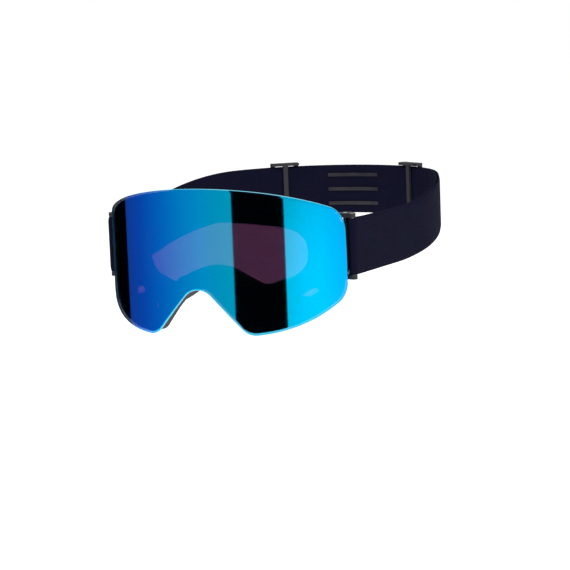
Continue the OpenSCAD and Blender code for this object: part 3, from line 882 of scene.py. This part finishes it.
@dataclass
class Strap:
    """The elastic strap: one band for each side and one across the back."""

    path: StrapPath
    body: str = "frame"
    layer: float = 2.05
    slider_at: float = math.radians(34.0)
    slider_half: float = 12.0
    return_gap: float = 14.0
    ease_len: float = 21.25

    def band(self, name: str, middle: Array, inward: Array, level: Array, length: Array,
             width: float, thin: float = 0.0) -> bpy.types.Object:
        """A woven band along a path.

        Its section is a rounded flat rectangle whose edges are a little thinner, like a selvedge.

        Args:
            name: the piece's name.
            middle: plan points of the band's middle.
            inward: unit vectors across its thickness.
            level: heights of its middle.
            length: distance along the strap at each point, for the weave.
            width: the band's width.
            thin: how much thinner than the strap it is.

        Returns:
            The band, with a UV map in metres.
        """
        half_t = (self.path.thickness - thin) / 2
        v = np.concatenate([np.linspace(-1, 1, 15), np.linspace(1, -1, 15)])
        side = np.concatenate([np.ones(15), -np.ones(15)])
        edge = np.clip((1 - np.abs(v)) * width / 2 / 1.2, 0, 1)
        thick = half_t * (0.35 + 0.65 * np.sqrt(edge * (2 - edge)))
        deep = side * thick
        across = v * width / 2
        points = np.empty((len(middle), len(v), 3))
        points[..., :2] = middle[:, None, :] + inward[:, None, :] * deep[None, :, None]
        points[..., 2] = level[:, None] + across[None, :]
        columns = len(v)
        quads = grid_faces(len(middle), columns, False, True)
        start = np.stack([np.arange(14), np.arange(1, 15), 28 - np.arange(14), 29 - np.arange(14)], 1)
        end = start + (len(middle) - 1) * columns
        band = make_object(name, points, np.concatenate([quads, start, end]), WEB, 80.0)
        self.map_weave(band, length, across)
        return band

    @staticmethod
    def map_weave(band: bpy.types.Object, length: Array, across: Array) -> None:
        """Lay a UV map in metres, along and across. The mesh keeps the order of the band's grid."""
        mesh = band.data
        uv_of = np.stack([np.repeat(length, len(across)), np.tile(across, len(length))], 1) * MM
        loops = np.empty(len(mesh.loops), dtype=np.int32)
        mesh.loops.foreach_get("vertex_index", loops)
        layer = mesh.uv_layers.new(name="weave")
        layer.data.foreach_set("uv", uv_of[loops].ravel())

    def return_end(self) -> float:
        """Length along the path at which the returned layer ends, short of the slider."""
        slider = self.path.half_len - self.slider_at * self.path.back_radius
        return slider - self.slider_half - self.return_gap

    def side_band(self, side: Side) -> bpy.types.Object:
        """The band from the back join forwards, round the strap bar and back inside to the slider.

        The outer layer follows the path, the fold is a half turn round the bar, and the inner
        layer eases from the fold's width to lie just inside the outer layer.
        """
        path = self.path
        join = path.side_len + path.corner_len
        u_out = np.linspace(join, 0, 190)
        outer = path.plan(u_out)
        outer_mid = path.fold_radius - path.thickness / 2
        centre = path.start - path.outward * outer_mid
        turn = np.linspace(0, math.pi, 20)[1:-1]
        angle = -path.spread - turn
        fold_dir = np.stack([np.cos(angle), np.sin(angle)], 1)
        fold = centre + fold_dir * outer_mid
        u_in = np.linspace(0, self.return_end(), 190)
        ease = np.clip(u_in / self.ease_len, 0, 1)
        ease = ease * ease * (3 - 2 * ease)
        inner = path.plan(u_in, 2 * outer_mid * (1 - ease) + self.layer * ease)
        middle = np.concatenate([outer, fold, inner])
        tangent = np.gradient(middle, axis=0)
        tangent /= np.linalg.norm(tangent, axis=1)[:, None]
        inward = -turned(tangent)
        level = np.concatenate([path.level(u_out), np.full(len(fold), path.low_z), path.level(u_in)])
        step = np.linalg.norm(np.diff(middle, axis=0), axis=1)
        length = path.half_len - join + np.concatenate([[0], np.cumsum(step)])
        middle, inward = middle * [side.value, 1], inward * [side.value, 1]
        band = self.band(f"strap_band_{side.word}", middle, inward, level, length, path.width)
        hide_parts(f"strap_lead_{side.word}", f"strap_side_{side.word}", f"strap_return_{side.word}")
        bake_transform(band)
        return band

    def back_band(self) -> bpy.types.Object:
        """The band across the back, which meets the two side bands end to end."""
        path = self.path
        join = path.side_len + path.corner_len
        u = np.linspace(join, path.half_len, 90)
        half = path.plan(u)
        middle = np.concatenate([half, half[-2::-1] * [-1, 1]])
        away = path.half_len - u
        length = np.concatenate([away, -away[-2::-1]])
        inward = path.back_centre - middle
        inward /= np.linalg.norm(inward, axis=1)[:, None]
        level = np.full(len(middle), path.low_z + path.rise)
        band = self.band("strap_band_back", middle, inward, level, length, path.width)
        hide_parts("strap_back")
        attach(band, self.body)
        return band

    def tack(self, side: Side) -> bpy.types.Object:
        """Two crosswise rows of stitches that hold the end of the returned layer.

        Each stitch is a low six-sided thread that lies on the strap's outer face.
        """
        path = self.path
        end = self.return_end()
        rows, count, pitch, thread = (end - 3.0, end - 7.0), 15, 2.4, 0.22
        around = np.linspace(0, 2 * math.pi, 7)[:-1]
        along = np.linspace(-1, 1, 5)
        bulge = np.sqrt(np.clip(1 - along**6, 0.12, 1))
        points, quads = [], []
        for row in rows:
            u = row + thread * np.cos(around)
            for z in (np.arange(count) - (count - 1) / 2) * pitch:
                level = float(path.level(np.array([row]))[0]) + z + along * 0.85
                loops = np.empty((5, 6, 3))
                lift = path.plan(u, -path.thickness / 2) - path.plan(u, -path.thickness / 2 - 1)
                rise = (thread * np.sin(around))[None, :, None] * -lift[None]
                loops[..., :2] = path.plan(u, -path.thickness / 2)[None] + rise * bulge[:, None, None]
                loops[..., 2] = level[:, None]
                first = sum(len(p) for p in points)
                points.append(loops.reshape(-1, 3) * [side.value, 1, 1])
                quads.append(grid_faces(5, 6, False, True, first))
        all_points, all_quads = np.concatenate(points), np.concatenate(quads)
        piece = make_object(f"sewn_tack_{side.word}", all_points, all_quads, THREAD, 80.0)
        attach(piece, self.body)
        return piece

    def build(self) -> list[bpy.types.Object]:
        """Build the whole strap."""
        pieces = [self.side_band(side) for side in Side] + [self.back_band()]
        pieces += [self.tack(side) for side in Side]
        dress("grip_strips", SILICONE)
        return pieces


# ---------------------------------------------------------------- hardware


@dataclass
class Hardware:
    """Ears, outriggers and slide adjusters copied from the frame with eased edges, and the strap bars
    dressed.
    """

    edge: float = 0.0004
    segments: int = 3

    def build(self) -> list[bpy.types.Object]:
        """Ease and dress the hardware of both sides."""
        pieces = []
        for side in Side:
            word = side.word
            pieces += [
                eased_copy(f"ear_{word}", f"hinge_ear_{word}", "frame", RIM, self.edge,
                           self.segments),
                eased_copy(f"outrigger_{word}", f"outrigger_clip_{word}", f"outrigger_{word}", RIM,
                           self.edge, self.segments),
                eased_copy(f"slider_{word}", f"slide_adjuster_{word}", f"slider_{word}", HARDWARE,
                           2 * self.edge, self.segments),
            ]
            dress(f"strap_bar_{word}", STEEL)
        return pieces


# ---------------------------------------------------------------- stage


@dataclass
class Stage:
    """The camera, the floor, the studio light and the cards that the lens reflects."""

    lens_mm: float = 134.81
    floor_z: float = -0.192

    def camera(self) -> None:
        """Set the camera at the viewing angle, on the point that the picture is centred on."""
        right = Vector((0.928026, 0.370490, -0.038798))
        up = Vector((-0.016076, 0.143886, 0.989464))
        back = right.cross(up)
        data = bpy.data.cameras.new("camera")
        data.lens = self.lens_mm
        data.sensor_width = 36.0
        camera = bpy.data.objects.new("camera", data)
        place = Matrix((right, up, back)).transposed().to_4x4()
        place.translation = Vector((0.616684, -1.397539, 0.190804))
        camera.matrix_world = place
        bpy.context.scene.collection.objects.link(camera)
        bpy.context.scene.camera = camera

    def floor(self) -> None:
        """A plain pale floor that is white to the camera and in reflections."""
        size = 6.0
        corners = np.array([[-size, -size, 0], [size, -size, 0], [size, size, 0], [-size, size, 0]])
        mesh = bpy.data.meshes.new("floor")
        mesh.from_pydata((corners + [0, 0, self.floor_z]).tolist(), [], [(0, 1, 2, 3)])
        floor = bpy.data.objects.new("floor", mesh)
        bpy.context.scene.collection.objects.link(floor)
        nodes = Nodes("pale_floor")
        diffuse = nodes.add("BsdfDiffuse", {"Color": rgba(0.55, 0.55, 0.56)})
        glow = nodes.add("Emission", {"Color": rgba(1.0, 1.0, 1.0), "Strength": 0.74})
        both = nodes.add("AddShader", links={0: diffuse.outputs[0], 1: glow.outputs[0]})
        mesh.materials.append(nodes.finish(both.outputs[0]))

    def world(self) -> None:
        """A white surround, plain to the camera and in gloss, and softer as a light."""
        world = bpy.data.worlds.new("studio")
        bpy.context.scene.world = world
        world.use_nodes = True
        tree = world.node_tree
        tree.nodes.clear()
        output = tree.nodes.new("ShaderNodeOutputWorld")
        background = tree.nodes.new("ShaderNodeBackground")
        path = tree.nodes.new("ShaderNodeLightPath")
        seen = tree.nodes.new("ShaderNodeMath")
        seen.operation = "MAXIMUM"
        seen_more = tree.nodes.new("ShaderNodeMath")
        seen_more.operation = "MAXIMUM"
        strength = tree.nodes.new("ShaderNodeMath")
        strength.operation = "MULTIPLY_ADD"
        strength.inputs[1].default_value = 0.45
        strength.inputs[2].default_value = 0.55
        tree.links.new(path.outputs["Is Camera Ray"], seen.inputs[0])
        tree.links.new(path.outputs["Is Glossy Ray"], seen.inputs[1])
        tree.links.new(seen.outputs[0], seen_more.inputs[0])
        tree.links.new(path.outputs["Is Transmission Ray"], seen_more.inputs[1])
        tree.links.new(seen_more.outputs[0], strength.inputs[0])
        tree.links.new(strength.outputs[0], background.inputs["Strength"])
        background.inputs["Color"].default_value = rgba(1.0, 1.0, 1.0)
        tree.links.new(background.outputs[0], output.inputs["Surface"])

    def lamp(self, name: str, azimuth: float, height: float, size: float, power: float) -> None:
        """A soft square lamp that points at the goggles from an azimuth in degrees."""
        data = bpy.data.lights.new(name, "AREA")
        data.shape = "SQUARE"
        data.size = size
        data.energy = power
        lamp = bpy.data.objects.new(name, data)
        turn = math.radians(azimuth)
        away = Vector((math.sin(turn), -math.cos(turn), height)).normalized()
        lamp.location = away * 2.0
        lamp.rotation_euler = away.to_track_quat("Z", "Y").to_euler()
        lamp.visible_glossy = False
        bpy.context.scene.collection.objects.link(lamp)

    def card(self, name: str, radius: float, tones: list[tuple[float, tuple[float, float, float]]]) -> None:
        """A bent upright card that only reflections see.

        Args:
            name: the card's name.
            radius: its distance from the origin in metres.
            tones: azimuths in degrees, each with the colour that the card has there.
        """
        azimuth, colour = np.array([t[0] for t in tones]), np.array([t[1] for t in tones])
        columns = 64
        turn = np.linspace(azimuth[0], azimuth[-1], columns)
        tone = np.stack([np.interp(turn, azimuth, colour[:, i]) for i in range(3)] + [np.ones(columns)], 1)
        x, y = radius * np.sin(np.radians(turn)), -radius * np.cos(np.radians(turn))
        z = np.array([self.floor_z + 0.002, 1.4])
        points = np.stack([np.tile(x, 2), np.tile(y, 2), np.repeat(z, columns)], 1)
        mesh = bpy.data.meshes.new(name)
        mesh.from_pydata(points.tolist(), [], grid_faces(2, columns, False, False).tolist())
        layer = mesh.color_attributes.new("tone", "FLOAT_COLOR", "POINT")
        layer.data.foreach_set("color", np.tile(tone, (2, 1)).ravel())
        nodes = Nodes(name)
        shade = nodes.add("Attribute", attribute_name="tone").outputs["Color"]
        mesh.materials.append(nodes.finish(nodes.add("Emission", links={"Color": shade}).outputs[0]))
        card = bpy.data.objects.new(name, mesh)
        card.visible_camera = card.visible_diffuse = False
        card.visible_shadow = card.visible_transmission = False
        bpy.context.scene.collection.objects.link(card)

    def build(self) -> None:
        """Set the whole stage."""
        self.camera()
        self.floor()
        self.world()
        self.lamp("key_lamp", 60.0, 0.9, 1.2, 22.0)
        self.lamp("fill_lamp", -50.0, 0.7, 1.4, 14.0)
        self.lamp("back_lamp", 190.0, 0.8, 1.4, 14.0)
        black, white = (0.0, 0.0, 0.0), (1.0, 1.0, 1.0)
        self.card("dark_card_front", 0.60, [(8.9, black), (51.0, black)])
        self.card("dark_card_side", 0.61, [(-152.0, black), (-98.5, black)])
        self.card("graded_card_left", 0.63, [(-100.0, (0.1, 0.2, 0.48)), (-57.0, (0.3, 0.3, 0.60)),
                                             (-28.0, (0.5, 0.50, 0.72)), (4.0, (0.9, 0.9, 0.95)),
                                             (10.0, white)])
        bpy.context.scene.view_settings.view_transform = "Standard"


def main() -> None:
    """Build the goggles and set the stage."""
    logging.basicConfig(level=logging.INFO, format="%(name)s: %(message)s")
    path = StrapPath()
    pieces = []
    for assembly in (Lens(), Frame(), Strap(path), Hardware()):
        made = assembly.build()
        pieces += made
        LOG.info("%s: %d pieces", type(assembly).__name__, len(made))
    Stage().build()
    bpy.context.view_layer.update()
    LOG.info("%d new pieces", len(pieces))


if __name__ == "__main__":
    main()
